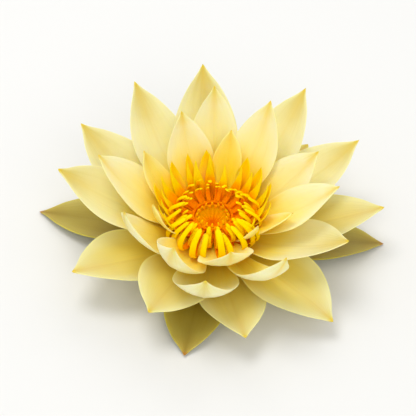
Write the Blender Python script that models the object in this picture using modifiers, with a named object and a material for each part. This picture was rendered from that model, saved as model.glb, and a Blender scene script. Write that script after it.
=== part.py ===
"""Yellow water lily flower, picked with a short stem stub and set face up.

Every petal is one leaf-shaped sheet: a flat grid that is bent upwards along its midline,
cupped across it and given thickness.  The petals sit in whorls on the side of the ovary.
Inside them stand narrow petal-like stamens, three whorls of stamens and the stigma disc.
"""

import math

import bmesh
import bpy
import mathutils
import numpy as np

MM = 0.001

# Where the flower's axis stands, and how high the top of the ovary is above the surface.
AXIS_X = 0.9 * MM
AXIS_Y = -2.92 * MM
OVARY_TOP = 20.0 * MM

# The ovary carries everything else.  Each seated piece keeps GAP to it.
OVARY_RADIUS = 7.4 * MM
OVARY_HEIGHT = 16.5 * MM
STEM_RADIUS = 5.0 * MM
GAP = 0.3 * MM
# A rolled petal's foot reaches inwards at one side, so it stands further out: by this at a quarter turn.
ROLLED_FOOT_SHIFT = 0.8 * MM

PETAL_THICKNESS = 0.8 * MM
PETAL_STEPS_LONG = 10
PETAL_STEPS_WIDE = 4
STAMINODE_STEPS_LONG = 8
STAMINODE_STEPS_WIDE = 2

# A petal's outline is a sine bulge, skewed so that it is widest at WIDEST_AT of its length.
WIDEST_AT = 0.55
OUTLINE_POWER = 0.95
TIP_WIDTH_SHARE = 0.02
CUP_SHARE_AT_ENDS = 0.75
MIDLINE_SAMPLES = 200

# A whorl's usual petal.  seat: height of its foot below the ovary's top; lift: angle of the
# midline above level, at the foot and at the tip; cup: half angle of the arc across it;
# foot: width of the foot as a share of the width; bend: how late the midline turns up;
# roll: turn about its own length, which tucks one edge under the next petal.
SEPAL = dict(seat=-15.0, length=64, width=26, lift=(0, -8), cup=22, foot=0.24, bend=1.0, roll=0)
OUTER = dict(seat=-12.5, length=60, width=30, lift=(8, 8), cup=28, foot=0.22, bend=1.0, roll=0)
MIDDLE = dict(seat=-9.0, length=66, width=28, lift=(18, 42), cup=36, foot=0.20, bend=1.0, roll=0)
INNER = dict(seat=-5.5, length=53, width=23, lift=(24, 60), cup=32, foot=0.24, bend=1.0, roll=0)
SMALL = dict(seat=-3.6, length=39, width=14, lift=(17, 80), cup=26, foot=0.25, bend=1.0, roll=0)
STAMINODE = dict(seat=-2.3, length=27, width=5.2, lift=(8, 92), cup=24, foot=0.35, bend=1.0, roll=0)

# Each petal names its heading about the axis and what differs from its whorl.
SEPALS = [
    dict(heading=163, length=69, lift=(1, -8)),
    dict(heading=259, length=53),
    dict(heading=3),
    dict(heading=82, length=60),
]
OUTER_PETALS = [
    dict(heading=208, seat=-13.3, length=58, width=32, lift=(9, 16)),
    dict(heading=244.5, seat=-11.3, length=53, lift=(12, 14), bend=0.95, cup=18, roll=-10.5),
    dict(heading=282, seat=-13.3, length=55, width=28, lift=(2, 12), cup=27, roll=-2.5),
    dict(heading=315, seat=-10.8, length=61, lift=(11, -11), cup=25, roll=1),
    dict(heading=3, seat=-13.5, length=65, width=31, lift=(8, 20), cup=25, roll=-5),
    dict(heading=50, seat=-11.6, length=56, lift=(7, 7), cup=22),
    dict(heading=91, seat=-13.3, length=57, lift=(3, 6), cup=22),
    dict(heading=130, seat=-11.7, length=58, lift=(8, 8)),
]
MIDDLE_PETALS = [
    dict(heading=177, seat=-8.3, length=65, lift=(14, 48), cup=28, roll=-8),
    dict(heading=147, seat=-10.4, width=29, lift=(12, 48), cup=22, bend=1.3),
    dict(heading=121, seat=-9.4, length=67, width=26, lift=(15, 50), cup=26, roll=5),
    dict(heading=94, seat=-8.3, length=67, width=27, lift=(14, 62), cup=24),
    dict(heading=53, seat=-8.9, length=67, width=26, lift=(15, 46), cup=28, roll=-3),
    dict(heading=27, seat=-10.1, width=29, lift=(8, 36), cup=32),
    dict(heading=267, seat=-8.5, length=61.5, width=29, lift=(0, 91), bend=1.85, cup=43, roll=-5),
    dict(heading=333.5, seat=-8.3, length=58.5, width=27.5, lift=(8, 39), bend=1.1, cup=35, roll=-0.5),
]
INNER_PETALS = [
    dict(heading=169, seat=-6.2, width=25, lift=(18, 62), cup=28),
    dict(heading=110, seat=-5.0, length=45, width=20, lift=(21, 72), cup=26),
    dict(heading=89, seat=-6.8, length=56, width=21, lift=(19, 74), cup=20),
    dict(heading=57, seat=-5.1, width=21, lift=(20, 70), cup=24),
    dict(heading=21, seat=-7.0, length=49, lift=(17, 56), cup=23, roll=8),
    dict(heading=352, seat=-5.1, length=54, width=22, lift=(17, 52), cup=24, roll=7),
    dict(heading=301, seat=-5.9, length=64.5, width=19, lift=(-8, 82), bend=1.15, cup=40, roll=-16.5),
    dict(heading=215, seat=-7.8, length=54.5, width=22, lift=(8, 89), bend=1.15, cup=33, roll=-9),
    dict(heading=250, seat=-5.4, width=25, lift=(4, 99), bend=1.6, cup=49, roll=-23.5),
    dict(heading=280.5, seat=-4, length=42, width=23.5, lift=(5, 88), bend=1.6, cup=34, roll=3.5),
]
SMALL_PETALS = [
    dict(heading=151, seat=-3.8, lift=(12, 84)),
    dict(heading=75, seat=-3.5, length=36, width=10, lift=(16, 84)),
    dict(heading=339, seat=-3.7, length=34, width=11, lift=(13, 57)),
    dict(heading=204, seat=-3.7, length=31.5, lift=(7, 91), bend=0.95, cup=28),
    dict(heading=314.5, seat=-3.8, length=27, width=7, lift=(9, 78), bend=0.95, cup=28, roll=-3),
]
# The staminodes at the front are narrower and curl over the stamens.
STAMINODES = [dict(heading=heading) for heading in (12, 35, 54, 96, 115, 134, 169)]
STAMINODES += [
    dict(heading=226 + 31 * number, length=22, width=3.4, lift=(4, 118)) for number in range(4)
]
STAMINODES += [dict(heading=345)]

# Stamen whorls, from the outside in: a collar round the ovary with stamens growing from it.
STAMEN_WHORLS = {
    "outer_stamens": dict(count=20, collar=-0.85, length=20, lift=(4, 138), width=1.5),
    "middle_stamens": dict(count=18, collar=0.15, length=15, lift=(14, 135), width=1.3),
    "inner_stamens": dict(count=16, collar=1.15, length=10, lift=(30, 130), width=1.2),
}
COLLAR_HEIGHT = 0.7 * MM
COLLAR_WIDTH = 0.9 * MM
STAMEN_STEPS = 5
STAMEN_THICKNESS = 0.7 * MM
STAMEN_TIP_TAPER = 0.6

# The ovary's top stands a little above the petals' reference height, with the disc on it.
OVARY_CROWN = 1.6 * MM
OVARY_EDGE = 0.8 * MM
STEM_SHOULDER = 1.6 * MM
STIGMA_RADIUS = 6.8 * MM
STIGMA_THICKNESS = 0.8 * MM
STIGMA_RIM_RISE = 1.2 * MM
ROUND_STEPS = 24
SMOOTH_ANGLE = math.radians(50)

COLOURS = {
    "sepal": (0.50, 0.44, 0.12),
    "outer_petal": (0.80, 0.66, 0.25),
    "middle_petal": (0.88, 0.78, 0.42),
    "inner_petal": (0.90, 0.78, 0.34),
    "small_petal": (0.92, 0.76, 0.24),
    "staminode": (1.00, 0.58, 0.02),
    "stamens": (1.00, 0.48, 0.01),
    "stigma": (0.62, 0.20, 0.01),
    "stem": (0.28, 0.34, 0.08),
}
PLANT_ROUGHNESS = 0.5


def clearScene():
    for item in list(bpy.data.objects):
        bpy.data.objects.remove(item, do_unlink=True)


def addMaterial(item, colour):
    """Gives a piece its own plant-matter finish."""
    finish = bpy.data.materials.new(item.name + "_finish")
    finish.use_nodes = True
    shader = finish.node_tree.nodes["Principled BSDF"]
    shader.inputs["Base Color"].default_value = (*colour, 1.0)
    shader.inputs["Roughness"].default_value = PLANT_ROUGHNESS
    shader.inputs["Metallic"].default_value = 0.0
    item.data.materials.append(finish)


def addPiece(name, bm, flower, axis, colour):
    """Turns a bmesh into a named, shaded object on the flower's axis."""
    bmesh.ops.recalc_face_normals(bm, faces=bm.faces)
    mesh = bpy.data.meshes.new(name)
    bm.to_mesh(mesh)
    bm.free()
    mesh.shade_smooth()
    mesh.set_sharp_from_angle(angle=SMOOTH_ANGLE)
    item = bpy.data.objects.new(name, mesh)
    flower.objects.link(item)
    item.parent = axis
    addMaterial(item, colour)
    return item


def midline(length, lift, bend, share):
    """Reach and rise along a midline whose angle turns from lift[0] to lift[1]."""
    fine = np.linspace(0.0, 1.0, MIDLINE_SAMPLES + 1)
    angle = np.radians(lift[0] + (lift[1] - lift[0]) * fine**bend)
    middle = (angle[1:] + angle[:-1]) / 2
    step = length / MIDLINE_SAMPLES
    reach = np.concatenate([[0.0], np.cumsum(np.cos(middle) * step)])
    rise = np.concatenate([[0.0], np.cumsum(np.sin(middle) * step)])
    return np.interp(share, fine, reach), np.interp(share, fine, rise), np.interp(share, fine, angle)


def petalPoint(along, across, shape):
    """Place of a petal's point: along 0 to 1 from foot to tip, across -1 to 1."""
    length = shape["length"] * MM
    reach, rise, angle = midline(length, shape["lift"], shape["bend"], along)
    skewed = along ** (math.log(0.5) / math.log(WIDEST_AT))
    bulge = max(math.sin(math.pi * skewed), 0.0) ** OUTLINE_POWER
    outline = bulge + shape["foot"] * (1 - along) ** 3
    half = shape["width"] * MM / 2 * max(outline, TIP_WIDTH_SHARE)
    deepening = (1 - CUP_SHARE_AT_ENDS) * math.sin(math.pi * along)
    cup = math.radians(shape["cup"]) * (CUP_SHARE_AT_ENDS + deepening)
    side = half / cup * math.sin(across * cup)
    raised = half / cup * (1 - math.cos(across * cup))
    point = mathutils.Vector((reach - math.sin(angle) * raised, side, rise + math.cos(angle) * raised))
    tipReach, tipRise, _ = midline(length, shape["lift"], shape["bend"], 1.0)
    chord = mathutils.Vector((tipReach, 0.0, tipRise))
    return mathutils.Matrix.Rotation(math.radians(shape["roll"]), 3, chord) @ point


def addPetal(name, whorl, change, flower, axis, colour, steps):
    """One petal: a grid bent to its shape, with Solidify for its thickness."""
    shape = {**whorl, **change}
    bm = bmesh.new()
    bmesh.ops.create_grid(bm, x_segments=steps[0], y_segments=steps[1], size=1.0)
    for vert in bm.verts:
        vert.co = petalPoint((vert.co.x + 1) / 2, vert.co.y, shape)
    petal = addPiece(name, bm, flower, axis, colour)
    heading = math.radians(shape["heading"])
    steepness = math.sin(math.radians(abs(shape["lift"][0])))
    tilt = abs(math.sin(math.radians(shape["roll"])))
    seatRadius = OVARY_RADIUS + GAP + PETAL_THICKNESS / 2 * steepness + ROLLED_FOOT_SHIFT * tilt
    petal.location = (
        seatRadius * math.cos(heading),
        seatRadius * math.sin(heading),
        shape["seat"] * MM,
    )
    petal.rotation_euler = (0.0, 0.0, heading)
    solid = petal.modifiers.new("thickness", "SOLIDIFY")
    solid.thickness = PETAL_THICKNESS
    solid.offset = 0.0
    return petal


def addWhorl(baseName, whorl, changes, flower, axis):
    for number, change in enumerate(changes, 1):
        name = f"{baseName}_{number}"
        steps = (PETAL_STEPS_LONG, PETAL_STEPS_WIDE)
        addPetal(name, whorl, change, flower, axis, COLOURS[baseName], steps)


def addStaminodes(flower, axis):
    """Narrow pointed petals between the real petals and the stamens."""
    steps = (STAMINODE_STEPS_LONG, STAMINODE_STEPS_WIDE)
    for number, change in enumerate(STAMINODES, 1):
        addPetal(f"staminode_{number}", STAMINODE, change, flower, axis, COLOURS["staminode"], steps)


def growStamen(bm, face, heading, shape):
    """Extrudes one wall face of the collar outwards, up and over into a stamen."""
    root = OVARY_RADIUS + GAP + COLLAR_WIDTH
    outward = mathutils.Vector((math.cos(heading), math.sin(heading), 0.0))
    sideways = mathutils.Vector((-math.sin(heading), math.cos(heading), 0.0))
    upward = mathutils.Vector((0.0, 0.0, 1.0))
    corners = [(vert.co.dot(sideways), vert.co.z - shape["collar"] * MM) for vert in face.verts]
    signs = [(math.copysign(1, side), math.copysign(1, height)) for side, height in corners]
    for step in range(1, STAMEN_STEPS + 1):
        share = step / STAMEN_STEPS
        reach, rise, angle = midline(shape["length"] * MM, shape["lift"], 1.0, share)
        spine = outward * (root + reach) + upward * (shape["collar"] * MM + rise)
        normal = upward * math.cos(angle) - outward * math.sin(angle)
        taper = STAMEN_TIP_TAPER if step == STAMEN_STEPS else 1.0
        halfWide = shape["width"] * MM / 2 * taper
        halfThick = STAMEN_THICKNESS / 2 * taper
        face = bmesh.ops.extrude_discrete_faces(bm, faces=[face])["faces"][0]
        for vert, (wideSign, thickSign) in zip(face.verts, signs):
            vert.co = spine + sideways * (wideSign * halfWide) + normal * (thickSign * halfThick)


def addStamenWhorl(name, shape, flower, axis):
    """A collar spun round the ovary, with a stamen grown from every second wall face."""
    inside = OVARY_RADIUS + GAP
    outside = inside + COLLAR_WIDTH
    low = shape["collar"] * MM - COLLAR_HEIGHT / 2
    high = shape["collar"] * MM + COLLAR_HEIGHT / 2
    count = shape["count"]
    bm = bmesh.new()
    section = [(outside, low), (outside, high), (inside, high), (inside, low)]
    halfStep = math.pi / (2 * count)
    turn = mathutils.Matrix.Rotation(-halfStep, 3, "Z")
    verts = [bm.verts.new(turn @ mathutils.Vector((x, 0.0, z))) for x, z in section]
    edges = [bm.edges.new((verts[i], verts[(i + 1) % 4])) for i in range(4)]
    bmesh.ops.spin(
        bm,
        geom=verts + edges,
        axis=(0.0, 0.0, 1.0),
        cent=(0.0, 0.0, 0.0),
        angle=2 * math.pi,
        steps=2 * count,
        use_merge=True,
    )
    bmesh.ops.recalc_face_normals(bm, faces=bm.faces)
    for number in range(count):
        heading = 2 * math.pi * number / count
        growStamen(bm, outerWall(bm, heading), heading, shape)
    return addPiece(name, bm, flower, axis, COLOURS["stamens"])


def outerWall(bm, heading):
    """The collar's wall face that looks straight outwards along a heading."""
    outward = mathutils.Vector((math.cos(heading), math.sin(heading), 0.0))
    return max(bm.faces, key=lambda face: (face.normal + face.calc_center_median()).dot(outward))


def addTurned(name, profile, flower, axis, colour):
    """A piece turned about the flower's axis from a profile that runs top to bottom."""
    mesh = bpy.data.meshes.new(name)
    points = [(radius, 0.0, height) for radius, height in profile]
    links = [(i, i + 1) for i in range(len(points) - 1)]
    mesh.from_pydata(points, links, [])
    item = bpy.data.objects.new(name, mesh)
    flower.objects.link(item)
    item.parent = axis
    addMaterial(item, colour)
    screw = item.modifiers.new("turn", "SCREW")
    screw.steps = ROUND_STEPS
    screw.render_steps = ROUND_STEPS
    screw.use_merge_vertices = True
    screw.merge_threshold = 0.0001
    return item


def addStem(flower, axis):
    """The cut stem, the swelling above it and the ovary, which grow as one."""
    foot = -OVARY_HEIGHT
    cutEnd = -OVARY_TOP
    profile = [
        (0.0, OVARY_CROWN),
        (OVARY_RADIUS - OVARY_EDGE, OVARY_CROWN),
        (OVARY_RADIUS, OVARY_CROWN - OVARY_EDGE),
        (OVARY_RADIUS, foot + STEM_SHOULDER),
        (OVARY_RADIUS - STEM_SHOULDER * 0.3, foot + STEM_SHOULDER * 0.3),
        (STEM_RADIUS + STEM_SHOULDER * 0.4, foot - STEM_SHOULDER * 0.3),
        (STEM_RADIUS, foot - STEM_SHOULDER),
        (STEM_RADIUS, cutEnd),
        (0.0, cutEnd),
    ]
    return addTurned("stem_and_ovary", profile, flower, axis, COLOURS["stem"])


def addStigma(flower, axis):
    """The shallow dish of stigmas on top of the ovary."""
    seat = OVARY_CROWN + GAP
    middle = seat + STIGMA_THICKNESS
    rim = middle + STIGMA_RIM_RISE
    profile = [
        (0.0, middle),
        (STIGMA_RADIUS * 0.45, middle + STIGMA_RIM_RISE * 0.25),
        (STIGMA_RADIUS * 0.85, rim - STIGMA_RIM_RISE * 0.12),
        (STIGMA_RADIUS * 0.95, rim),
        (STIGMA_RADIUS, rim - STIGMA_RIM_RISE * 0.33),
        (STIGMA_RADIUS * 0.92, seat + STIGMA_THICKNESS * 0.4),
        (STIGMA_RADIUS * 0.86, seat),
        (0.0, seat),
    ]
    return addTurned("stigma_disc", profile, flower, axis, COLOURS["stigma"])


def main():
    clearScene()
    flower = bpy.data.collections.new("water_lily_flower")
    bpy.context.scene.collection.children.link(flower)
    axis = bpy.data.objects.new("flower_axis", None)
    axis.location = (AXIS_X, AXIS_Y, OVARY_TOP)
    flower.objects.link(axis)
    addStem(flower, axis)
    addWhorl("sepal", SEPAL, SEPALS, flower, axis)
    addWhorl("outer_petal", OUTER, OUTER_PETALS, flower, axis)
    addWhorl("middle_petal", MIDDLE, MIDDLE_PETALS, flower, axis)
    addWhorl("inner_petal", INNER, INNER_PETALS, flower, axis)
    addWhorl("small_petal", SMALL, SMALL_PETALS, flower, axis)
    addStaminodes(flower, axis)
    for name, shape in STAMEN_WHORLS.items():
        addStamenWhorl(name, shape, flower, axis)
    addStigma(flower, axis)


main()
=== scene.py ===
import math

import bpy
import numpy as np
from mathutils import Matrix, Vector


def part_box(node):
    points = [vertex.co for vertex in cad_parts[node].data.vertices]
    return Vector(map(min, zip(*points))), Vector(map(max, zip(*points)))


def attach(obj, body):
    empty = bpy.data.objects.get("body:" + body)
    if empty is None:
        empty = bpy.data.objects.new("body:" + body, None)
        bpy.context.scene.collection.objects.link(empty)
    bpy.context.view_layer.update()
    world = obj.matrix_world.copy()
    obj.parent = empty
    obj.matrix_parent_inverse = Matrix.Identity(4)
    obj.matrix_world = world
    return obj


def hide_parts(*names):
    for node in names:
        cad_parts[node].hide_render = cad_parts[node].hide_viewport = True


# A water lily flower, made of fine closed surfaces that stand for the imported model's plain pieces.
# Every petal, stamen and horn is one strip: bent along its midline, cupped across it and given
# a body that thins out at its edges. Lengths in the dictionaries are millimetres, angles degrees,
# and colours are screen values from 0 to 255.

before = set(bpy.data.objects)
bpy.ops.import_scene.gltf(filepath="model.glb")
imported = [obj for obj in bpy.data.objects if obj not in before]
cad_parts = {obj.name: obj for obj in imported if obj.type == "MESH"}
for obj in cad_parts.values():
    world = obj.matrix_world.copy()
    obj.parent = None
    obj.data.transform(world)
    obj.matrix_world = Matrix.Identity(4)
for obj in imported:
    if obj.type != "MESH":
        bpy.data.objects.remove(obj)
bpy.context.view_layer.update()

mm = 0.001
dice = np.random.default_rng(11)

# The stem's box gives the flower's axis, and its top gives the height that the seats count from.
crown = 1.6  # the ovary's top above that height
stemLow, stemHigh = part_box("stem_and_ovary")
axisPlace = np.array([(stemLow.x + stemHigh.x) / 2, (stemLow.y + stemHigh.y) / 2, stemHigh.z - crown * mm])
ovaryRadius = (stemHigh.x - stemLow.x) / 2 / mm
# Feet keep a gap to the ovary; a steep or rolled foot stands further out, by these at a quarter turn.
seats = dict(gap=0.3, steep=0.4, rolled=0.8)
valueNames = ("along", "across", "inside", "own")  # what each point tells its material


def surface(rings, poles, values):
    # A closed surface through rings of points, shaped (rows, ring, 3). With poles the first and last
    # rings end in fans to those two points; with none the last ring joins the first, as in a band.
    rows, ring = rings.shape[:2]
    points = rings.reshape(-1, 3)
    row, step = np.meshgrid(np.arange(rows if poles is None else rows - 1), np.arange(ring), indexing="ij")
    near, far, ahead = row * ring, (row + 1) % rows * ring, (step + 1) % ring
    quads = np.stack([near + step, near + ahead, far + ahead, far + step], -1).reshape(-1, 4)
    fans = np.zeros((0, 3), int)
    painted = {key: np.broadcast_to(values.get(key, 0.0), (rows, ring)).ravel() for key in valueNames}
    if poles is not None:
        around = np.arange(ring)
        following, last = (around + 1) % ring, (rows - 1) * ring
        footPole, tipPole = np.full(ring, rows * ring), np.full(ring, rows * ring + 1)
        fans = np.concatenate([np.stack([footPole, following, around], -1),
                               np.stack([tipPole, last + around, last + following], -1)])
        points = np.concatenate([points, poles])
        painted = {key: np.concatenate([grid, [grid[:ring].mean(), grid[-ring:].mean()]])
                   for key, grid in painted.items()}
    if insideOut(points, quads, fans):
        quads, fans = quads[:, ::-1], fans[:, ::-1]
    return points, quads, fans, painted


def insideOut(points, quads, fans):
    # The volume inside, as a sum of tetrahedra from the first point, is negative if the faces look inwards.
    corner, third = points[quads] - points[0], points[fans] - points[0]
    volume = (np.cross(corner[:, 1], corner[:, 2]) * corner[:, 0]).sum()
    volume += (np.cross(corner[:, 2], corner[:, 3]) * corner[:, 0]).sum()
    return volume + (np.cross(third[:, 1], third[:, 2]) * third[:, 0]).sum() < 0


def meshPiece(name, parts, finish, node, sharpAngle=60):
    # Joins surfaces into one object, with their painted values as point attributes.
    starts = np.cumsum([0, *(len(points) for points, *_ in parts)])
    faces = [*(quads + start for (_, quads, _, _), start in zip(parts, starts)),
             *(fans + start for (_, _, fans, _), start in zip(parts, starts))]
    mesh = bpy.data.meshes.new(name)
    points = axisPlace + np.concatenate([part[0] for part in parts]) * mm
    mesh.from_pydata(points.tolist(), [], [face for group in faces for face in group.tolist()])
    for key in valueNames:
        joined = np.concatenate([part[3][key] for part in parts]).astype(np.float32)
        mesh.attributes.new(key, "FLOAT", "POINT").data.foreach_set("value", joined)
    mesh.shade_smooth()
    mesh.set_sharp_from_angle(angle=math.radians(sharpAngle))
    mesh.materials.append(finish)
    piece = bpy.data.objects.new(name, mesh)
    bpy.context.scene.collection.objects.link(piece)
    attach(piece, "root")
    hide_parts(node)


def turned(profile, steps, ripple=None):
    # A profile of (radius, height) turned about the axis; ripple(radius, angle) adds to the height.
    radius, height = (column[:, None] for column in np.array(profile, float).T)
    angle = (np.arange(steps) / steps * 2 * math.pi)[None, :]
    height = height + 0 * angle + (ripple(radius, angle) if ripple else 0)
    rings = np.stack([radius * np.cos(angle), radius * np.sin(angle), height], -1)
    share = np.linspace(0, 1, len(rings))[:, None]
    poles = [[0, 0, rings[0, :, 2].mean()], [0, 0, rings[-1, :, 2].mean()]]
    return surface(rings, poles, {"along": share, "inside": 1.0})


def smooth(low, high, value):
    # 0 up to low and 1 from high on, with a cubic between them that is level at both ends.
    share = np.clip((value - low) / (high - low), 0, 1)
    return share * share * (3 - 2 * share)


def midline(shape, share):
    # The angle above level turns from lift[0] to lift[1], as a power of the share of the length or
    # smoothly between two shares; reach and rise are the sums of its cosine and sine.
    length, lift = shape["length"], shape["lift"]
    fine = np.linspace(0, 1, 401)
    progress = smooth(*shape["turn"], fine) if "turn" in shape else fine ** shape["bend"]
    angle = np.radians(lift[0] + (lift[1] - lift[0]) * progress)
    middle = (angle[1:] + angle[:-1]) / 2
    step = length / (len(fine) - 1)
    reach = np.concatenate([[0], np.cumsum(np.cos(middle) * step)])
    rise = np.concatenate([[0], np.cumsum(np.sin(middle) * step)])
    return np.interp(share, fine, reach), np.interp(share, fine, rise), np.interp(share, fine, angle)


leaf = dict(widest=0.55, power=0.95, beak=0.25, beakStart=0.86)


def leafOutline(shape, along):
    # A sine bulge skewed to be widest at one share of the length, narrowed to a beak near the tip,
    # plus a foot that fades out as the cube of what is left of the length.
    skewed = along ** (math.log(0.5) / math.log(leaf["widest"]))
    bulge = np.sin(math.pi * np.clip(skewed, 0, 1)).clip(0) ** leaf["power"]
    beak = 1 - leaf["beak"] * smooth(leaf["beakStart"], 1, along)
    return bulge * beak + shape["foot"] * (1 - along) ** 3


def strapOutline(shape, along):
    # Full width near the foot, narrowing to the share slim at the tip, which is rounded off.
    swell = 1 - (1 - shape["slim"]) * smooth(0.3, 0.9, along)
    return swell * np.sqrt(np.clip(1 - smooth(shape["round"], 1.02, along) ** 2, 0, 1))


strip = dict(leastWidth=0.012, fullness=0.6, endCup=0.75, ribCount=9, grooveWidth=0.9,
             waves=1.7, waveShift=0.35, twist=0.7, twists=0.8)


def stripPart(shape, outline, rows, ring):
    # One petal or stamen. Along s its midline rises as midline() says. Across v in -1..1 it is an arc
    # of half angle cup, which is a little flatter at both ends. Its body is thickness wide at the middle
    # and follows a power of the sine round to the rim.
    width, thickness = shape["width"], shape["thickness"]
    s = np.linspace(0, 1, rows + 1)[:-1, None]
    turn = np.arange(ring)[None, :] / ring * 2 * math.pi
    v, body = np.cos(turn), np.sin(turn)
    bodyShare = np.sign(body) * np.abs(body) ** strip["fullness"]
    half = width / 2 * np.maximum(outline(shape, s), strip["leastWidth"])
    cup = np.radians(shape["cup"]) * (strip["endCup"] + (1 - strip["endCup"]) * np.sin(math.pi * s))
    reach, rise, lift = midline(shape, s)
    # The relief is a wavy edge, a slow twist, a groove over the midrib and fine ribs, each faded along s.
    phase = shape["own"] * 17
    edge = np.abs(v) ** 3 * smooth(0.12, 0.5, s) * (1 - smooth(0.85, 1, s))
    relief = edge * np.sin(2 * math.pi * (strip["waves"] * s + phase + strip["waveShift"] * np.sign(v)))
    twist = strip["twist"] * v * np.sin(2 * math.pi * (strip["twists"] * s + phase * 0.7))
    relief = shape["wave"] * (relief + twist * smooth(0, 0.4, s))
    groove = np.exp(-((v * half / strip["grooveWidth"]) ** 2)) * smooth(0, 0.3, s) * (1 - smooth(0.7, 1, s))
    ribs = np.cos(v * math.pi * strip["ribCount"]) * smooth(0.02, 0.25, s) * (1 - smooth(0.75, 0.98, s))
    relief = relief - shape["groove"] * groove + shape["ribs"] * ribs
    local = half / cup
    side = local * np.sin(v * cup)
    raised = local * (1 - np.cos(v * cup))
    off = relief + thickness / 2 * bodyShare * np.minimum(1, half / thickness)
    side = side - np.sin(v * cup) * off
    raised = raised + np.cos(v * cup) * off
    x = reach - np.sin(lift) * raised
    z = rise + np.cos(lift) * raised
    rings = np.stack([x, side + 0 * x, z], -1)
    tipReach, tipRise, _ = midline(shape, 1.0)
    tip = np.array([tipReach, 0.0, tipRise])
    poles = settle(np.array([rings[0].mean(0), tip]), tip, shape)
    painted = {"along": s, "across": v, "inside": bodyShare, "own": shape["own"]}
    return surface(settle(rings, tip, shape), poles, painted)


def settle(points, tip, shape):
    # Rolls the points about the foot-to-tip line, then sets them on the ovary's side at their heading.
    chord = tip / np.linalg.norm(tip)
    roll, heading = math.radians(shape["roll"]), math.radians(shape["heading"])
    points = (points * math.cos(roll) + np.cross(chord, points) * math.sin(roll)
              + (points @ chord)[..., None] * chord * (1 - math.cos(roll)))
    steep = math.sin(math.radians(abs(shape["lift"][0])))
    root = ovaryRadius + seats["gap"] + seats["steep"] * steep + seats["rolled"] * abs(math.sin(roll))
    points = points + np.array([shape.get("root", root), 0, shape["seat"]])
    x = points[..., 0] * math.cos(heading) - points[..., 1] * math.sin(heading)
    y = points[..., 0] * math.sin(heading) + points[..., 1] * math.cos(heading)
    return np.stack([x, y, points[..., 2]], -1)


class Wire:
    # A shader socket that takes Python arithmetic: each operator adds its Math node.
    def __init__(self, paint, socket):
        self.paint, self.socket = paint, socket

    def math(self, operation, *others):
        return self.paint.add("ShaderNodeMath", {"operation": operation}, dict(enumerate((self, *others))))

    def __add__(self, other):
        return self.math("ADD", other)

    def __radd__(self, other):
        return self.math("ADD", other)

    def __sub__(self, other):
        return self.math("SUBTRACT", other)

    def __rsub__(self, other):
        return self.paint.add("ShaderNodeMath", {"operation": "SUBTRACT"}, {0: other, 1: self})

    def __mul__(self, other):
        return self.math("MULTIPLY", other)

    def __abs__(self):
        return self.math("ABSOLUTE")

    def fade(self, low, high):
        # 0 at low and beyond it, 1 at high and beyond it, smooth between; low may be the larger number.
        sockets = {"Value": self, "From Min": low, "From Max": high}
        return self.paint.add("ShaderNodeMapRange", {"interpolation_type": "SMOOTHSTEP"}, sockets)


class Paint:
    # One material: add() makes any node from its type, its settings and the values of its sockets.
    def __init__(self, name):
        self.material = bpy.data.materials.new(name)
        self.material.use_nodes = True
        self.tree = self.material.node_tree
        self.shader = self.tree.nodes["Principled BSDF"]

    def add(self, kind, settings=None, sockets=None, output=0):
        node = self.tree.nodes.new(kind)
        for name, value in (settings or {}).items():
            if name == "stops":
                self.setStops(node.color_ramp, value)
            else:
                setattr(node, name, value)
        for place, value in (sockets or {}).items():
            self.feed(node.inputs[place], value)
        return Wire(self, node.outputs[output])

    def setStops(self, ramp, stops):
        while len(ramp.elements) < len(stops):
            ramp.elements.new(1.0)
        for element, (position, colour) in zip(ramp.elements, stops):
            element.position = position
            element.color = (*colour, 1)

    def feed(self, socket, value):
        if isinstance(value, Wire):
            self.tree.links.new(value.socket, socket)
        elif isinstance(value, tuple) and len(value) == 3 and socket.type == "RGBA":
            socket.default_value = (*value, 1)
        else:
            socket.default_value = value

    def value(self, name):
        return self.add("ShaderNodeAttribute", {"attribute_name": name}, output="Fac")

    def place(self):
        return self.add("ShaderNodeTexCoord", output="Object")

    def vector(self, x, y, z):
        return self.add("ShaderNodeCombineXYZ", None, {0: x, 1: y, 2: z})

    def noise(self, vector, scale, detail, roughness):
        sockets = {"Vector": vector, "Scale": scale, "Detail": detail, "Roughness": roughness}
        return self.add("ShaderNodeTexNoise", {"noise_dimensions": "3D"}, sockets)

    def ramp(self, factor, stops):
        # Stops are pairs of a share and a colour in screen values.
        stops = [(share, tone(*colour)) for share, colour in stops]
        return self.add("ShaderNodeValToRGB", {"stops": stops}, {"Fac": factor})

    def mix(self, factor, first, second):
        settings = {"data_type": "RGBA", "clamp_factor": True}
        return self.add("ShaderNodeMix", settings, {0: factor, 6: first, 7: second}, output=2)

    def distance(self, vector, place):
        sockets = {0: vector, 1: place}
        return self.add("ShaderNodeVectorMath", {"operation": "DISTANCE"}, sockets, output="Value")

    def bump(self, height, distance, strength):
        sockets = {"Height": height, "Distance": distance, "Strength": strength}
        return self.add("ShaderNodeBump", None, sockets)

    def finish(self, **sockets):
        for name, value in sockets.items():
            self.feed(self.shader.inputs[name.replace("_", " ")], value)
        return self.material


def tone(red, green, blue):
    # Screen values 0-255 as the linear colour that nodes take.
    return tuple((part / 255 / 12.92) if part < 10 else ((part / 255 + 0.055) / 1.055) ** 2.4
                 for part in (red, green, blue))


# Light spreads inside the thin petals. The stamens, the stigma and the stem have no gloss besides.
glow = dict(Specular_IOR_Level=0.25, Subsurface_Weight=0.5, Subsurface_Radius=(1.0, 0.72, 0.28),
            Subsurface_Scale=0.0035)
dullGlow = {**glow, "Specular_IOR_Level": 0.0}

# The petals are golden round a place a little behind the flower's middle, fading between two distances:
# partly their own gold and partly painted golden light, reflected onto them from the stamens and the stigma.
goldAndReflectedLight = dict(place=(0, 8, 0), near=16, far=31, colour=(255, 206, 0))
grain = dict(veinRun=1.4, fineShare=3.2, fineRun=3.0, ownVeins=40, ownFine=60, clouds=90.0, cloudDrift=0.12,
             veinDrift=0.1, margin=0.6, rim=0.55, tip=0.8, roughness=0.42, relief=0.00025, strength=0.6)


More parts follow.
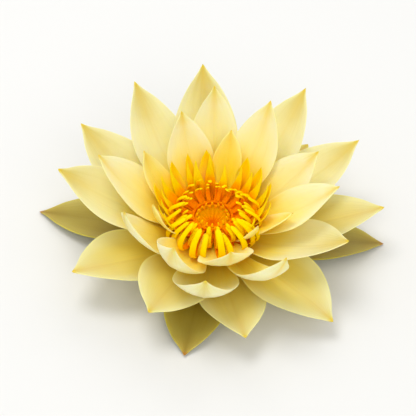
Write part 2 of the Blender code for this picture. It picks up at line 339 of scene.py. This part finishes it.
def petalPaint(name, look):
    # Colour runs from foot to tip, is paler or greener outside, and has fine lengthwise veins, pale margins,
    # a darker middle towards the tip, gold near the flower's middle that is partly painted reflected light, a
    # midrib, a thin rim and a small tip.
    paint = Paint(name)
    along, across, inside, own = (paint.value(key) for key in ("along", "across", "inside", "own"))
    veinPlace = paint.vector(across * look["veins"], along * grain["veinRun"], own * grain["ownVeins"])
    finePlace = paint.vector(across * look["veins"] * grain["fineShare"], along * grain["fineRun"],
                             own * grain["ownFine"])
    veins, fine = paint.noise(veinPlace, 1.0, 2.0, 0.6), paint.noise(finePlace, 1.0, 2.0, 0.5)
    cloud = paint.noise(paint.place(), grain["clouds"], 3.0, 0.55)
    drift = along + (cloud - 0.5) * grain["cloudDrift"] + (veins - 0.5) * grain["veinDrift"]
    inner, outer = paint.ramp(drift, look["inner"]), paint.ramp(drift, look["outer"])
    colour = paint.mix(inside.fade(-0.15, 0.15), outer, inner)
    streaks = (veins - 0.5) * 0.9 + (fine - 0.5) * 0.5
    colour = paint.mix(streaks.fade(0.05, 0.5) * look["streak"], colour, tone(*look["veinColour"]))
    margin = abs(across).fade(0.4, 0.95) * along.fade(0.3, 0.65) * grain["margin"]
    colour = paint.mix(margin, colour, tone(*look["margin"]))
    shade = abs(across).fade(0.5, 0.0) * along.fade(0.5, 0.9)
    colour = paint.mix(shade * look["shade"], colour, tone(*look["veinColour"]))
    # Painted light: golden light reflected from the stamens and stigma onto the petals near the middle, on
    # top of their own gold at the foot.
    middle = tuple(axisPlace + np.array(goldAndReflectedLight["place"]) * mm)
    nearCoreGoldAndLight = paint.distance(paint.place(), middle).fade(goldAndReflectedLight["far"] * mm, goldAndReflectedLight["near"] * mm)
    colour = paint.mix(nearCoreGoldAndLight * look["goldAndReflectedLight"], colour, tone(*goldAndReflectedLight["colour"]))
    rib = abs(across).fade(0.07, 0.0) * along.fade(0.98, 0.6)
    ribShown = rib * (1 - inside.fade(-0.2, 0.2) * 0.6) * look["rib"]
    colour = paint.mix(ribShown, colour, tone(*look["veinColour"]))
    rim = abs(across).fade(0.93, 0.99) * along.fade(0.1, 0.4) * grain["rim"]
    colour = paint.mix(rim, colour, tone(*look["rimColour"]))
    tip = along.fade(0.955, 0.995) * grain["tip"]
    colour = paint.mix(tip, colour, tone(*look["tipColour"]))
    height = veins * 0.7 + fine * 0.35 + rib * 0.3
    rough = grain["roughness"] + (cloud - 0.5) * 0.2 + (fine - 0.5) * 0.12
    bump = paint.bump(height, grain["relief"], grain["strength"])
    return paint.finish(Base_Color=colour, Roughness=rough, Normal=bump, **glow)


looks = {
    # The sepals and outer petals lie lowest, under the other petals, and their colours are partly painted
    # shade: darker than their own olive and cream, the sepals' feet darkest.
    "sepal": dict(
        inner=[(0.0, (134, 104, 8)), (0.3, (144, 118, 20)), (0.55, (154, 133, 38)), (0.8, (170, 153, 66)),
               (1.0, (170, 144, 56))],
        outer=[(0.0, (112, 122, 22)), (0.5, (142, 146, 34)), (1.0, (160, 148, 42))],
        veins=11, streak=0.5, rib=0.5, veinColour=(136, 112, 26), rimColour=(206, 190, 60),
        margin=(182, 168, 84), shade=0.5, goldAndReflectedLight=0.0, tipColour=(170, 96, 30)),
    "outer_petal": dict(
        inner=[(0.0, (230, 168, 0)), (0.26, (242, 196, 36)), (0.48, (236, 205, 92)), (0.7, (224, 204, 120)),
               (0.9, (220, 206, 142)), (1.0, (216, 196, 102))],
        outer=[(0.0, (206, 184, 60)), (0.4, (228, 212, 122)), (0.8, (236, 226, 160)), (1.0, (218, 202, 90))],
        veins=9, streak=0.34, rib=0.3, veinColour=(204, 160, 40), rimColour=(250, 236, 140),
        margin=(240, 230, 178), shade=0.3, goldAndReflectedLight=0.0, tipColour=(228, 188, 20)),
    "middle_petal": dict(
        inner=[(0.0, (255, 178, 0)), (0.2, (255, 200, 24)), (0.38, (254, 222, 96)), (0.56, (246, 231, 164)),
               (0.7, (236, 222, 164)), (0.86, (217, 200, 130)), (1.0, (212, 188, 78))],
        outer=[(0.0, (234, 206, 90)), (0.4, (244, 233, 168)), (0.8, (249, 242, 196)), (1.0, (228, 212, 112))],
        veins=9, streak=0.34, rib=0.25, veinColour=(218, 190, 92), rimColour=(252, 240, 160),
        margin=(247, 237, 190), shade=0.5, goldAndReflectedLight=0.5, tipColour=(226, 188, 20)),
    "inner_petal": dict(
        inner=[(0.0, (255, 156, 0)), (0.16, (255, 194, 12)), (0.32, (255, 218, 72)), (0.56, (254, 231, 142)),
               (0.84, (249, 235, 180)), (1.0, (236, 210, 96))],
        outer=[(0.0, (240, 208, 90)), (0.35, (249, 237, 170)), (0.8, (251, 244, 200)),
               (1.0, (232, 216, 120))],
        veins=8, streak=0.34, rib=0.25, veinColour=(240, 196, 66), rimColour=(255, 240, 150),
        margin=(255, 246, 196), shade=0.45, goldAndReflectedLight=0.75, tipColour=(232, 184, 10)),
    "small_petal": dict(
        inner=[(0.0, (255, 144, 0)), (0.22, (255, 184, 0)), (0.45, (255, 212, 36)), (0.7, (255, 230, 120)),
               (1.0, (248, 220, 112))],
        outer=[(0.0, (248, 196, 30)), (0.5, (250, 234, 140)), (1.0, (244, 226, 136))],
        veins=6, streak=0.34, rib=0.25, veinColour=(250, 194, 30), rimColour=(255, 238, 130),
        margin=(255, 242, 170), shade=0.3, goldAndReflectedLight=0.75, tipColour=(238, 186, 10)),
    "staminode": dict(
        inner=[(0.0, (252, 108, 0)), (0.3, (255, 132, 0)), (0.5, (255, 168, 0)), (0.74, (255, 200, 0)),
               (1.0, (255, 206, 0))],
        outer=[(0.0, (254, 140, 0)), (0.4, (255, 184, 0)), (1.0, (255, 206, 0))],
        veins=3, streak=0.4, rib=0.45, veinColour=(255, 146, 0), rimColour=(255, 210, 0),
        margin=(255, 214, 0), shade=0.0, goldAndReflectedLight=0.0, tipColour=(255, 184, 0)),
}

usual = dict(thickness=0.7, bend=1.0, roll=0, wave=0.35, groove=0.25, ribs=0.035)

sepals = dict(slot="sepal", base=dict(
    seat=-15.0, length=64, width=26, lift=(0, -8), cup=22, foot=0.24), each=[
    dict(heading=163, length=69, lift=(1, -8)),
    dict(heading=259, length=53),
    dict(heading=3),
    dict(heading=82, length=60),
])
outerPetals = dict(slot="outer_petal", base=dict(
    seat=-12.5, length=60, width=30, lift=(8, 8), cup=28, foot=0.22), each=[
    dict(heading=208, seat=-13.3, length=58, width=32, lift=(9, 16)),
    dict(heading=244.5, seat=-11.3, length=53, lift=(12, 14), bend=0.95, cup=18, roll=-10.5),
    dict(heading=282, seat=-13.3, length=55, width=28, lift=(2, 12), cup=27, roll=-2.5),
    dict(heading=315, seat=-10.8, length=61, lift=(11, -11), cup=25, roll=1),
    dict(heading=3, seat=-13.5, length=65, width=31, lift=(8, 20), cup=25, roll=-5),
    dict(heading=50, seat=-11.6, length=56, lift=(7, 7), cup=22),
    dict(heading=91, seat=-13.3, length=57, lift=(3, 6), cup=22),
    dict(heading=130, seat=-11.7, length=58, lift=(8, 8)),
])
middlePetals = dict(slot="middle_petal", base=dict(
    seat=-9.0, length=66, width=28, lift=(18, 42), cup=36, foot=0.20), each=[
    dict(heading=177, seat=-8.3, length=65, lift=(14, 48), cup=28, roll=-8),
    dict(heading=147, seat=-10.4, width=29, lift=(12, 48), cup=22, bend=1.3),
    dict(heading=121, seat=-9.4, length=67, width=26, lift=(15, 50), cup=26, roll=5),
    dict(heading=94, seat=-8.3, length=67, width=27, lift=(14, 62), cup=24),
    dict(heading=53, seat=-8.9, length=67, width=26, lift=(15, 46), cup=28, roll=-3),
    dict(heading=27, seat=-10.1, width=29, lift=(8, 36), cup=32),
    dict(heading=267, seat=-8.5, length=61.5, width=29, lift=(0, 91), bend=1.85, cup=43, roll=-5),
    dict(heading=333.5, seat=-8.3, length=58.5, width=27.5, lift=(8, 39), bend=1.1, cup=35, roll=-0.5),
])
innerPetals = dict(slot="inner_petal", base=dict(
    seat=-5.5, length=53, width=23, lift=(24, 60), cup=32, foot=0.24), each=[
    dict(heading=169, seat=-6.2, width=25, lift=(18, 62), cup=28),
    dict(heading=110, seat=-5.0, length=45, width=20, lift=(21, 72), cup=26),
    dict(heading=89, seat=-6.8, length=56, width=21, lift=(19, 74), cup=20),
    dict(heading=57, seat=-5.1, width=21, lift=(20, 70), cup=24),
    dict(heading=21, seat=-7.0, length=49, lift=(17, 56), cup=23, roll=8),
    dict(heading=352, seat=-5.1, length=54, width=22, lift=(17, 52), cup=24, roll=7),
    dict(heading=301, seat=-5.9, length=64.5, width=19, lift=(-8, 82), bend=1.15, cup=40, roll=-16.5),
    dict(heading=215, seat=-7.8, length=54.5, width=22, lift=(8, 89), bend=1.15, cup=33, roll=-9),
    dict(heading=250, seat=-5.4, width=25, lift=(4, 99), bend=1.6, cup=49, roll=-23.5),
    dict(heading=280.5, seat=-4, length=42, width=23.5, lift=(5, 88), bend=1.6, cup=34, roll=3.5),
])
smallPetals = dict(slot="small_petal", base=dict(
    seat=-3.6, length=39, width=14, lift=(17, 80), cup=26, foot=0.25), each=[
    dict(heading=151, seat=-3.8, lift=(12, 84)),
    dict(heading=75, seat=-3.5, length=36, width=13, lift=(16, 84)),
    dict(heading=339, seat=-3.7, length=34, width=11, lift=(13, 57)),
    dict(heading=204, seat=-3.7, length=31.5, lift=(7, 91), bend=0.95, cup=28),
    dict(heading=314.5, seat=-3.8, length=27, width=7, lift=(9, 78), bend=0.95, cup=28, roll=-3),
])
# The staminodes at the front are straps that curl over like the stamens behind them.
curled = dict(length=28, width=3.3, lift=(-8, 184), turn=(0.3, 0.85), slim=0.6, round=0.86)
staminodes = dict(slot="staminode", base=dict(
    seat=-2.3, length=27, width=5.2, lift=(2, 92), cup=24, foot=0.35, wave=0.1, groove=-0.25, ribs=0.0,
), each=[
    dict(heading=12, width=5.4),
    dict(heading=35, width=6.6),
    dict(heading=54, width=7),
    dict(heading=96, width=7),
    dict(heading=115, width=4.6),
    dict(heading=134, width=6),
    dict(heading=169, width=6),
    *({**curled, "heading": 226 + 31 * number} for number in range(4)),
    dict(heading=345),
])


def buildWhorl(whorl, rows, ring):
    # Each petal is the usual one, changed by its whorl's base and then by its own values.
    slot = whorl["slot"]
    finish = petalPaint(slot + "_surface", looks[slot])
    for number, change in enumerate(whorl["each"], 1):
        shape = {**usual, **whorl["base"], **change, "own": dice.random()}
        node = f"{slot}_{number}"
        outline = strapOutline if "slim" in shape else leafOutline
        meshPiece(node + "_fine", [stripPart(shape, outline, rows, ring)], finish, node)
    print(slot, "done:", len(whorl["each"]), "pieces")


for whorl in (sepals, outerPetals, middlePetals, innerPetals, smallPetals):
    buildWhorl(whorl, rows=80, ring=72)
buildWhorl(staminodes, rows=48, ring=32)


# Pairs are values at the back and at the front of the flower, where the stamens curl in further.
stamenWhorls = {
    "outer_stamens": dict(
        count=28, collar=-0.85, length=(15.5, 32.5), low=(12, -8), high=(142, 184), width=(2.1, 3.3)),
    "middle_stamens": dict(
        count=20, collar=0.15, length=(12.5, 20), low=(16, -8), high=(140, 180), width=(2.0, 2.9)),
    "inner_stamens": dict(
        count=16, collar=1.15, length=(8.5, 13), low=(24, 2), high=(136, 172), width=(1.7, 2.3)),
}
stamenShape = dict(thickness=0.8, turn=(0.3, 0.85), roll=0, cup=36, slim=0.7, round=0.86, wave=0.05,
                   groove=0.0, ribs=0.0)
collar = dict(width=0.9, height=0.7, overlap=0.4, inset=0.2)
chance = dict(heading=4.0, length=0.14, width=0.16, low=7, high=12, frontPower=2.2)
petaloid = dict(length=22, width=5.6, lift=(3, 92), slim=0.3, round=0.6, cup=30, groove=-0.3, wave=0.1)
petaloidRow = dict(count=17, start=-35, sweep=250, heading=4, length=0.12, width=0.2, lower=0.5)
stamenLook = dict(
    roughness=0.6, relief=0.0002, strength=0.7, anthers=1500.0,
    # The inner ramp, for the hollow side, is deeper orange than the outer: partly the stamens' own colour and
    # partly painted shade between them.
    inner=[(0.0, (255, 126, 0)), (0.42, (255, 136, 0)), (0.62, (255, 160, 0)), (0.76, (255, 210, 0)),
           (1.0, (255, 226, 30))],
    outer=[(0.0, (255, 136, 0)), (0.28, (255, 168, 0)), (0.55, (255, 194, 0)), (0.8, (255, 208, 0)),
           (1.0, (255, 222, 10))])


def stamenPaint():
    # Orange threads that turn yellow at the anther, with grainy anthers and thicker edges. Their hollow inner
    # side is a deeper orange, partly their own colour and partly painted shade in the channels between them.
    paint = Paint("stamen_surface")
    along, across, inside, own = (paint.value(key) for key in ("along", "across", "inside", "own"))
    pollen = paint.noise(paint.place(), stamenLook["anthers"], 3.0, 0.6)
    drift = along + (own - 0.5) * 0.16 + (pollen - 0.5) * 0.06
    inner, outer = paint.ramp(drift, stamenLook["inner"]), paint.ramp(drift, stamenLook["outer"])
    colour = paint.mix(inside.fade(-0.2, 0.2), outer, inner)
    height = pollen * along.fade(0.45, 0.7) + abs(across).fade(0.5, 0.9) * 0.5
    rough = stamenLook["roughness"] + (pollen - 0.5) * 0.3
    bump = paint.bump(height, stamenLook["relief"], stamenLook["strength"])
    return paint.finish(Base_Color=colour, Roughness=rough, Normal=bump, **dullGlow)


def band(inner, outer, low, high):
    # A closed ring round the axis whose section is an ellipse between two radii and two heights.
    angle = (np.arange(96) / 96 * 2 * math.pi)[:, None]
    corner = (np.arange(12) / 12 * 2 * math.pi)[None, :]
    radius = (inner + outer) / 2 + (outer - inner) / 2 * np.cos(corner)
    height = (low + high) / 2 + (high - low) / 2 * np.sin(corner)
    rings = np.stack([radius * np.cos(angle), radius * np.sin(angle), height + 0 * angle], -1)
    return surface(rings, None, {"inside": 1.0})


def buildStamens(name, whorl, finish):
    # A collar round the ovary with stamens all round. A stamen's values run from the whorl's first to
    # its second of each pair with a power of how far forward it points, and each differs by chance.
    middle, halfHigh = whorl["collar"], collar["height"] / 2
    outside = ovaryRadius + seats["gap"] + collar["width"]
    inside = ovaryRadius + seats["gap"] - collar["inset"]
    root = outside - collar["overlap"]
    parts = [band(inside, outside, middle - halfHigh, middle + halfHigh)]
    for number in range(whorl["count"]):
        own, (aside, longer, wider, droop, curl) = dice.random(), dice.uniform(-1, 1, 5)
        heading = 360 * (number + 0.5) / whorl["count"] + chance["heading"] * aside
        front = (0.5 - 0.5 * math.sin(math.radians(heading))) ** chance["frontPower"]
        length, width, low, high = (
            np.interp(front, (0, 1), whorl[key]) for key in ("length", "width", "low", "high"))
        shape = {**stamenShape, "own": own, "seat": middle, "root": root, "heading": heading,
                 "length": length * (1 + chance["length"] * longer),
                 "width": width * (1 + chance["width"] * wider),
                 "lift": (low + chance["low"] * droop, high + chance["high"] * curl)}
        parts.append(stripPart(shape, strapOutline, rows=26, ring=16))
    if name == "outer_stamens":
        parts += petaloidParts(middle - petaloidRow["lower"], root)
    meshPiece(name + "_fine", parts, finish, name)
    print(name, "done:", whorl["count"], "stamens")


def petaloidParts(seat, root):
    # The outermost stamens at the back and sides are still flat and upright, like narrow petals.
    row, parts = petaloidRow, []
    for number in range(row["count"]):
        own, (aside, longer, wider) = 0.8 + 0.9 * dice.random(), dice.uniform(-1, 1, 3)
        heading = row["start"] + row["sweep"] * number / (row["count"] - 1) + row["heading"] * aside
        shape = {**usual, **petaloid, "own": own, "seat": seat, "root": root, "heading": heading,
                 "length": petaloid["length"] * (1 + row["length"] * longer),
                 "width": petaloid["width"] * (1 + row["width"] * wider)}
        parts.append(stripPart(shape, strapOutline, rows=36, ring=16))
    return parts


finish = stamenPaint()
for name, whorl in stamenWhorls.items():
    buildStamens(name, whorl, finish)


stigma = dict(
    deepest=-3.8, bowlPower=1.7, rim=0.6, radius=6.8, rays=16, ridge=0.2, wall=0.8, steps=256, sharpAngle=75,
    hornAside=2, hornLonger=0.1, lumps=1200.0, roughness=0.6, relief=0.0002, strength=0.5,
    dish=[(0.0, (214, 92, 0)), (0.12, (238, 118, 0)), (0.26, (255, 156, 0)), (1.0, (255, 180, 0))],
    horns=[(0.0, (246, 120, 0)), (0.4, (255, 176, 0)), (1.0, (255, 206, 0))])
horn = dict(length=3.6, width=1.2, thickness=0.8, lift=(35, 150), bend=1.0, roll=0, cup=20, slim=0.6,
            round=0.75, wave=0.0, groove=0.0, ribs=0.0, root=5.8, seat=-0.4)


def stigmaPaint():
    # A dish that lightens outwards, with horns that turn golden. The dish's own value is 0.
    paint = Paint("stigma_surface")
    along, own = paint.value("along"), paint.value("own")
    lumps = paint.noise(paint.place(), stigma["lumps"], 3.0, 0.6)
    dish = paint.ramp(along + (lumps - 0.5) * 0.08, stigma["dish"])
    colour = paint.mix(own.fade(0.0, 0.001), dish, paint.ramp(along, stigma["horns"]))
    rough = stigma["roughness"] + (lumps - 0.5) * 0.3
    bump = paint.bump(lumps, stigma["relief"], stigma["strength"])
    return paint.finish(Base_Color=colour, Roughness=rough, Normal=bump, **dullGlow)


def buildStigma():
    # A bowl whose height rises as a power of the share of the radius. Its rays add ridge times
    # a cosine of the angle, fading to the middle, and each ray ends in a small curled horn.
    deepest, rim, radius, wall = (stigma[key] for key in ("deepest", "rim", "radius", "wall"))
    share = np.linspace(0.02, 1, 36)
    top = np.stack([share * radius * 0.95, deepest + (rim - deepest) * share ** stigma["bowlPower"]], -1)
    under = np.stack([share[::-1] * radius * 0.9, top[::-1, 1] - wall], -1)
    side = [(radius, rim - 0.3), (radius * 0.98, rim - 0.7)]

    def ripple(out, angle):
        upper = (np.arange(len(out)) < len(top))[:, None]
        return upper * stigma["ridge"] * np.cos(stigma["rays"] * angle) * smooth(0.08, 0.4, out / radius)

    parts = [turned([*top.tolist(), *side, *under.tolist()], stigma["steps"], ripple)]
    for number in range(stigma["rays"]):
        own, aside = 1 + dice.random(), dice.uniform(-1, 1)
        shape = {**horn, "own": own, "heading": 360 * number / stigma["rays"] + stigma["hornAside"] * aside,
                 "length": horn["length"] * (1 + stigma["hornLonger"] * aside)}
        parts.append(stripPart(shape, strapOutline, rows=20, ring=14))
    meshPiece("stigma_disc_fine", parts, stigmaPaint(), "stigma_disc", stigma["sharpAngle"])
    print("stigma done")


stem = dict(
    edge=0.6, hollowPower=1.9, hollowWidth=0.86, steps=160, stub=5.0, foot=-16.5, shoulder=1.6, cutRound=0.3,
    streaks=400.0, roughness=0.5, relief=0.0002, strength=0.5,
    skin=[(0.0, (250, 140, 0)), (0.24, (254, 150, 0)), (0.3, (226, 190, 60)), (0.45, (196, 190, 80)),
          (0.62, (120, 130, 40)), (0.86, (98, 112, 34)), (0.9, (190, 200, 120)), (1.0, (206, 212, 140))])


def stemPaint():
    # Orange in the hollow, yellow-green down the ovary, green on the stub and pale on its cut end.
    paint = Paint("stem_surface")
    streaks = paint.noise(paint.place(), stem["streaks"], 4.0, 0.6)
    skin = paint.ramp(paint.value("along") + (streaks - 0.5) * 0.1, stem["skin"])
    rough = stem["roughness"] + (streaks - 0.5) * 0.2
    bump = paint.bump(streaks, stem["relief"], stem["strength"])
    return paint.finish(Base_Color=skin, Roughness=rough, Normal=bump, **dullGlow)


def buildStem():
    # Turned from the hollow under the stigma outwards, over the ovary's edge and down its side, through
    # a shoulder that follows a half cosine to the stub, and across the stub's cut end.
    stub, foot, shoulder, edge, cutRound = (
        stem[key] for key in ("stub", "foot", "shoulder", "edge", "cutRound"))
    radius, cut = ovaryRadius, -axisPlace[2] / mm
    hollow = stigma["deepest"] - stigma["wall"] - seats["gap"]
    profile = [(out * radius * stem["hollowWidth"], hollow + (edge - hollow) * out ** stem["hollowPower"])
               for out in np.linspace(0.04, 1, 14)]
    profile += [(radius - 0.5, edge), (radius - 0.15, edge - 0.25), (radius, edge - 0.8)]
    profile += [(radius, height) for height in np.linspace(-0.8, foot + shoulder * 1.5, 24)]
    profile += [
        (stub + (radius - stub) * (0.5 + 0.5 * math.cos(turn)), foot + shoulder * (1 - 2 * turn / math.pi))
        for turn in np.linspace(0.2, math.pi, 14)]
    profile += [(stub, foot - 2.2), (stub, cut + cutRound), (stub - 0.1, cut + 0.08), (stub - cutRound, cut)]
    profile += [(out, cut) for out in np.linspace(stub - 0.5, 0.3, 20)]
    parts = [turned(profile, stem["steps"])]
    meshPiece("stem_and_ovary_fine", parts, stemPaint(), "stem_and_ovary")
    print("stem done")


buildStigma()
buildStem()


studio = dict(distance=1.1, elevation=45, lens=232, sensor=36, aim=(-0.0010, -0.0010, 0.0235),
              floorSize=6, floorTone=(232, 231, 228), floorCloud=(226, 225, 222), sky=(0.98, 0.99, 1.0, 1),
              skyStrength=0.76)
lamps = {
    "key": dict(place=(-0.25, 0.12, 1.12), size=0.6, power=4.7),
    "fill": dict(place=(0.25, -1.0, 0.8), size=0.7, power=2.8),
    "back": dict(place=(0.2, 0.9, 0.9), size=0.6, power=1.6),
}


def buildFloor():
    # A plain pale plane at the height of the cut stem, very slightly clouded.
    paint = Paint("floor_surface")
    cloud = paint.noise(paint.place(), 3.0, 2.0, 0.5)
    colour = paint.mix(cloud * 0.3, tone(*studio["floorTone"]), tone(*studio["floorCloud"]))
    paint.finish(Base_Color=colour, Roughness=0.8)
    bpy.ops.mesh.primitive_plane_add(size=studio["floorSize"])
    floor = bpy.context.object
    floor.name = "floor"
    floor.data.materials.append(paint.material)


def addLamp(name, place, size, power):
    # A soft round lamp turned to the flower.
    lamp = bpy.data.lights.new(name, "AREA")
    lamp.shape, lamp.size, lamp.energy = "DISK", size, power
    item = bpy.data.objects.new(name, lamp)
    item.location = place
    item.rotation_euler = (Vector(studio["aim"]) - Vector(place)).to_track_quat("-Z", "Y").to_euler()
    bpy.context.scene.collection.objects.link(item)


def addCamera():
    # Looks at the aim from in front and above, at the elevation angle.
    rise, aim = math.radians(studio["elevation"]), Vector(studio["aim"])
    camera = bpy.data.objects.new("camera", bpy.data.cameras.new("camera"))
    camera.location = aim + studio["distance"] * Vector((0, -math.cos(rise), math.sin(rise)))
    camera.rotation_euler = (math.radians(90) - rise, 0, 0)
    camera.data.lens, camera.data.sensor_width = studio["lens"], studio["sensor"]
    bpy.context.scene.collection.objects.link(camera)
    bpy.context.scene.camera = camera


def addStudio():
    # A soft pale sky all round, the lamps and the camera.
    world = bpy.data.worlds.new("studio")
    bpy.context.scene.world = world
    world.use_nodes = True
    background = world.node_tree.nodes["Background"]
    background.inputs["Color"].default_value = studio["sky"]
    background.inputs["Strength"].default_value = studio["skyStrength"]
    for name, lamp in lamps.items():
        addLamp(name, **lamp)
    addCamera()
    bpy.context.scene.view_settings.view_transform = "Standard"
    print("studio done")


buildFloor()
addStudio()
